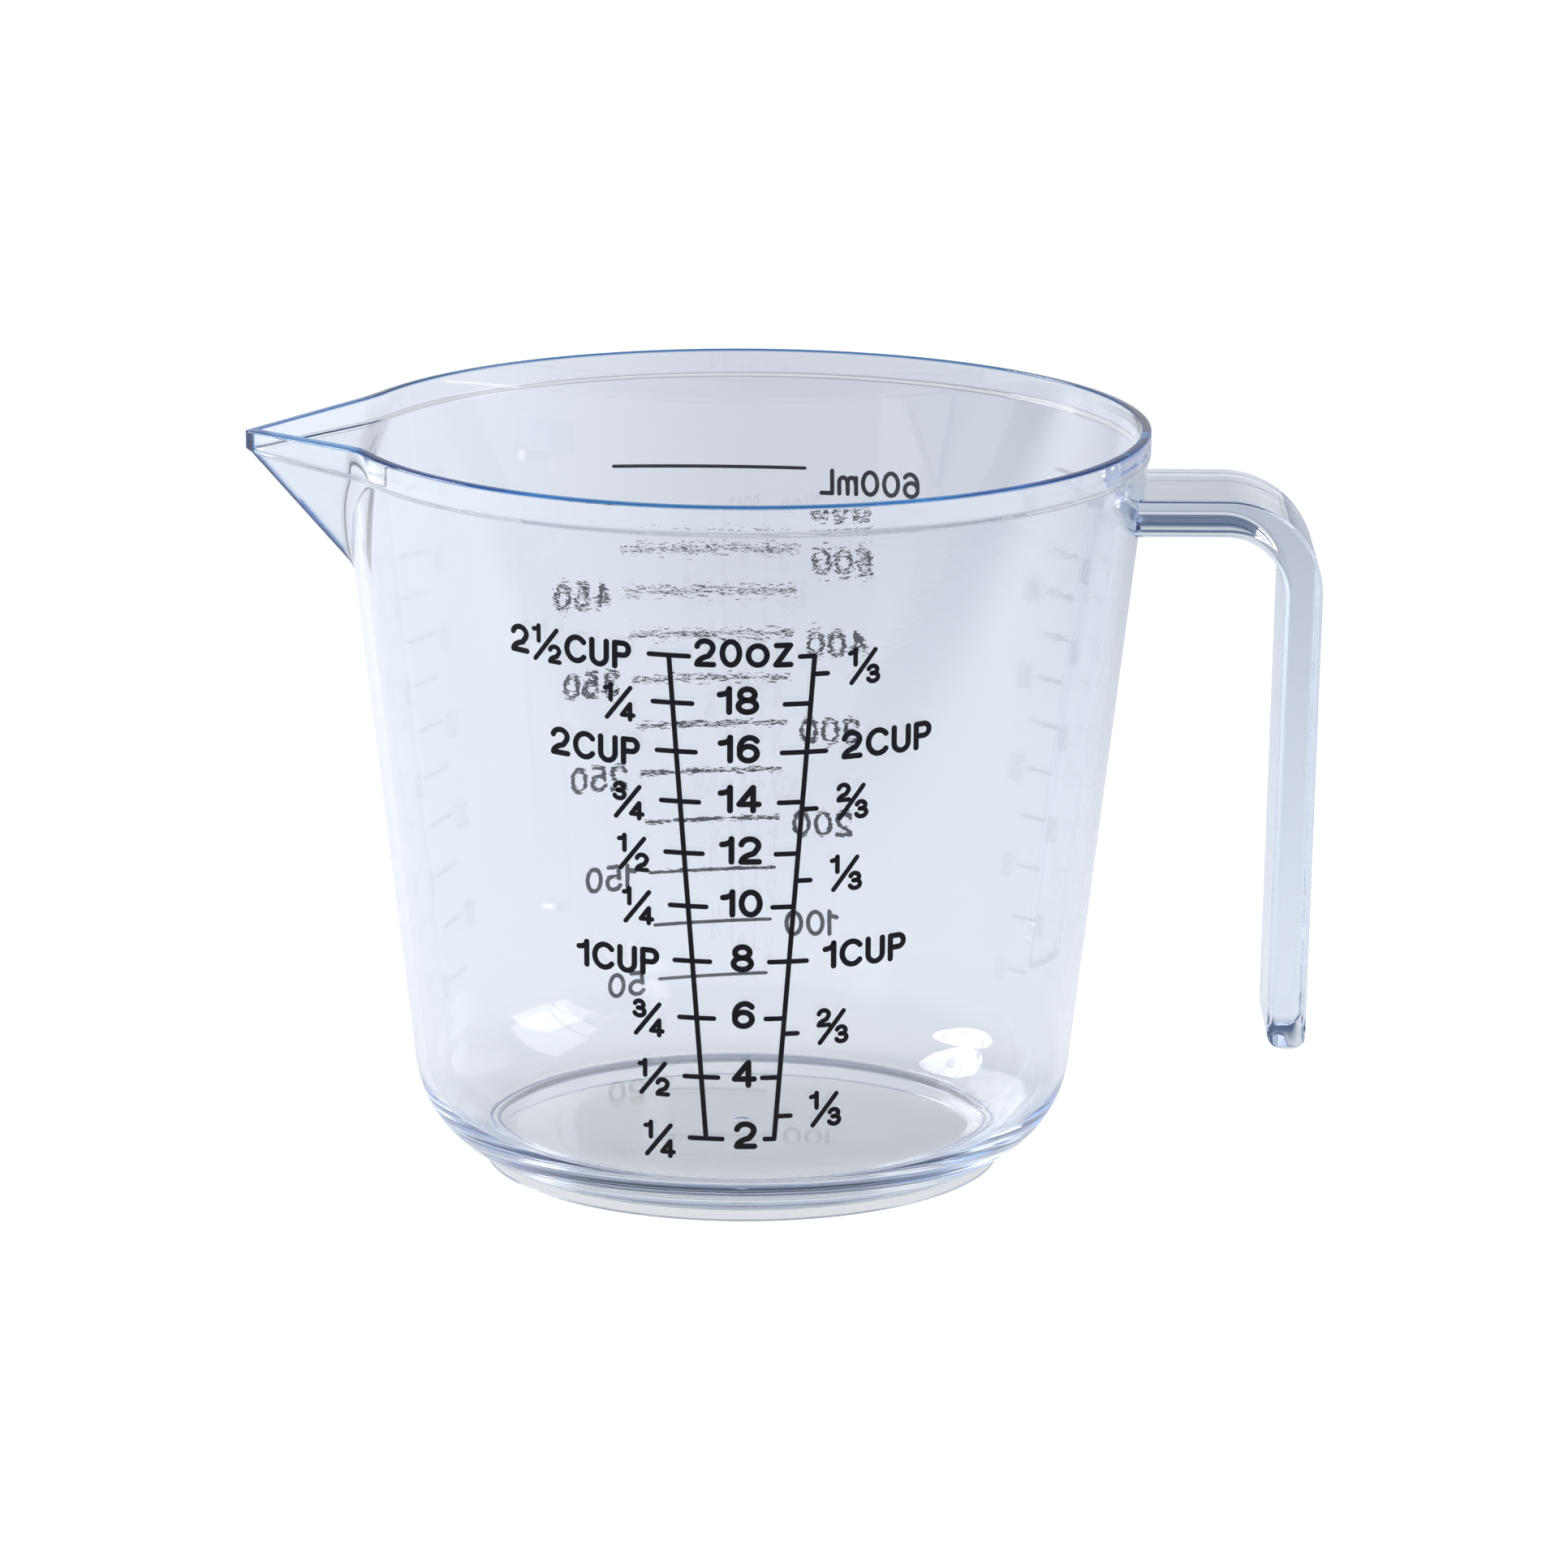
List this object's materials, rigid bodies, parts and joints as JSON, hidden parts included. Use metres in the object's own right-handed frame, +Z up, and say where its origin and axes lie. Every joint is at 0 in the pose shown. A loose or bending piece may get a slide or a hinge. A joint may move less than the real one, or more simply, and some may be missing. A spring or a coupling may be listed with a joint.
{
  "type": "measuring cup",
  "caption": "Clear plastic measuring cup with a pouring spout, an open strap handle, a foot ring and printed cup, ounce and millilitre scales.",
  "frame": {"origin": "on the table under the middle of the part's footprint, handle and spout included", "axes": "+Z up through the mouth, +X towards the handle, -X towards the spout, -Y towards the cup and ounce scale"},
  "size_m": [0.1498, 0.1132, 0.1049],
  "materials": {
    "clear_plastic": "clear, polished",
    "black_ink": "screen-printed ink",
    "navy_ink": "screen-printed ink"
  },
  "bodies": {
    "root": {"cup_shell": "clear_plastic", "rim_band": "clear_plastic", "pouring_spout": "clear_plastic", "foot_ring": "clear_plastic", "handle": "clear_plastic", "quarter_cup_ladder": "black_ink", "ounce_ladder": "black_ink", "metric_bar_50": "navy_ink", "metric_bar_100": "navy_ink", "metric_bar_150": "navy_ink", "metric_bar_200": "navy_ink", "metric_bar_250": "navy_ink", "metric_bar_300": "navy_ink", "metric_bar_350": "navy_ink", "metric_bar_400": "navy_ink", "metric_bar_450": "navy_ink", "metric_bar_500": "navy_ink", "metric_bar_600": "navy_ink"}
  },
  "joints": []
}
